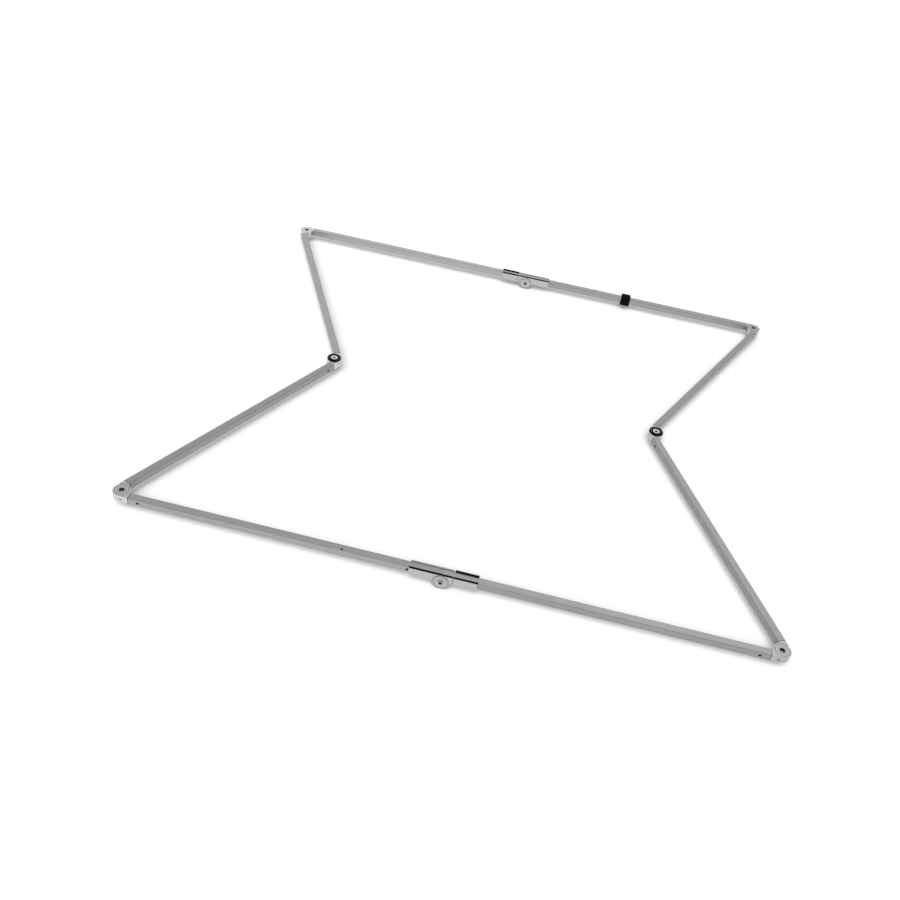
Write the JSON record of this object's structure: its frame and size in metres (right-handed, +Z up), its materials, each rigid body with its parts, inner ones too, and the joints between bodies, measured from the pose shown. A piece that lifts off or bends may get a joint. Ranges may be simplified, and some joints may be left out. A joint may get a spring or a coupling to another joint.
{
  "type": "folding frame",
  "caption": "Folding frame of square aluminium tubes with hinged corners, two inward-folding knees, two rails that fold in half and a strap.",
  "frame": {"origin": "middle of the frame's bounding box, on the plane the hinge ears stand on", "axes": "+Z up, +X to the right along the two rails, +Y from the front rail to the back rail"},
  "size_m": [2.104, 1.8992, 0.065],
  "materials": {
    "tube": "satin",
    "knuckle": "machined",
    "ring": "polished",
    "screw": "satin",
    "grub": "blackened",
    "cap": "matte",
    "strap": "woven"
  },
  "bodies": {
    "front_left_rail": {"front_left_tube": "tube", "front_left_fork": "knuckle", "front_left_screw": "screw", "front_left_nut": "screw", "front_bracket": "knuckle", "front_bracket_liner": "cap", "front_hinge_pin": "screw", "front_hinge_nut": "screw", "front_left_grubs": "grub"},
    "front_right_rail": {"front_right_tube": "tube", "front_right_fork": "knuckle", "front_right_screw": "screw", "front_right_nut": "screw", "front_leaf": "knuckle", "front_leaf_liners": "cap", "front_right_grubs": "grub"},
    "back_right_rail": {"back_right_tube": "tube", "back_right_fork": "knuckle", "back_right_screw": "screw", "back_right_nut": "screw", "back_bracket": "knuckle", "back_bracket_liner": "cap", "back_hinge_pin": "screw", "back_hinge_nut": "screw", "back_right_grubs": "grub", "strap": "strap"},
    "back_left_rail": {"back_left_tube": "tube", "back_left_fork": "knuckle", "back_left_screw": "screw", "back_left_nut": "screw", "back_leaf": "knuckle", "back_leaf_liners": "cap", "back_left_grubs": "grub"},
    "left_front_arm": {"left_front_arm_tube": "tube", "left_front_corner_tongue": "knuckle", "left_front_knee_tongue": "knuckle", "left_front_arm_grubs": "grub"},
    "left_back_arm": {"left_back_arm_tube": "tube", "left_back_corner_tongue": "knuckle", "left_knee_fork": "knuckle", "left_knee_screw": "screw", "left_knee_nut": "screw", "left_knee_cap": "cap", "left_knee_ring": "ring", "left_back_arm_grubs": "grub"},
    "right_front_arm": {"right_front_arm_tube": "tube", "right_front_corner_tongue": "knuckle", "right_front_knee_tongue": "knuckle", "right_front_arm_grubs": "grub"},
    "right_back_arm": {"right_back_arm_tube": "tube", "right_back_corner_tongue": "knuckle", "right_knee_fork": "knuckle", "right_knee_screw": "screw", "right_knee_nut": "screw", "right_knee_cap": "cap", "right_knee_ring": "ring", "right_back_arm_grubs": "grub"}
  },
  "joints": [
    {"name": "rail_fold", "type": "hinge", "parent": "front_left_rail", "child": "front_right_rail", "pos_m": [0, -0.92658, 0.027], "axis": [0, 1, 0], "range_deg": [0, 179]},
    {"name": "frame_fold", "type": "hinge", "parent": "front_left_rail", "child": "left_front_arm", "pos_m": [-1.025, -0.90958, 0.0415], "axis": [0, 0, -1], "range_deg": [-26, 64]},
    {"name": "left_knee", "type": "hinge", "parent": "left_front_arm", "child": "left_back_arm", "pos_m": [-0.6192, 0, 0.0415], "axis": [0, 0, 1], "range_deg": [-52, 128]},
    {"name": "back_left_corner", "type": "hinge", "parent": "left_back_arm", "child": "back_left_rail", "pos_m": [-1.025, 0.90958, 0.0415], "axis": [0, 0, -1], "range_deg": [-26, 64]},
    {"name": "back_rail_fold", "type": "hinge", "parent": "back_left_rail", "child": "back_right_rail", "pos_m": [0, 0.92658, 0.027], "axis": [0, 1, 0], "range_deg": [0, 179]},
    {"name": "front_right_corner", "type": "hinge", "parent": "front_right_rail", "child": "right_front_arm", "pos_m": [1.025, -0.90958, 0.0415], "axis": [0, 0, 1], "range_deg": [-26, 64]},
    {"name": "right_knee", "type": "hinge", "parent": "right_front_arm", "child": "right_back_arm", "pos_m": [0.6192, 0, 0.0415], "axis": [0, 0, -1], "range_deg": [-52, 128]}
  ],
  "couplings": [
    {"joint": "left_knee", "follows": "frame_fold", "ratio": 2},
    {"joint": "back_left_corner", "follows": "frame_fold", "ratio": 1},
    {"joint": "front_right_corner", "follows": "frame_fold", "ratio": 1},
    {"joint": "right_knee", "follows": "frame_fold", "ratio": 2},
    {"joint": "back_rail_fold", "follows": "rail_fold", "ratio": 1}
  ]
}
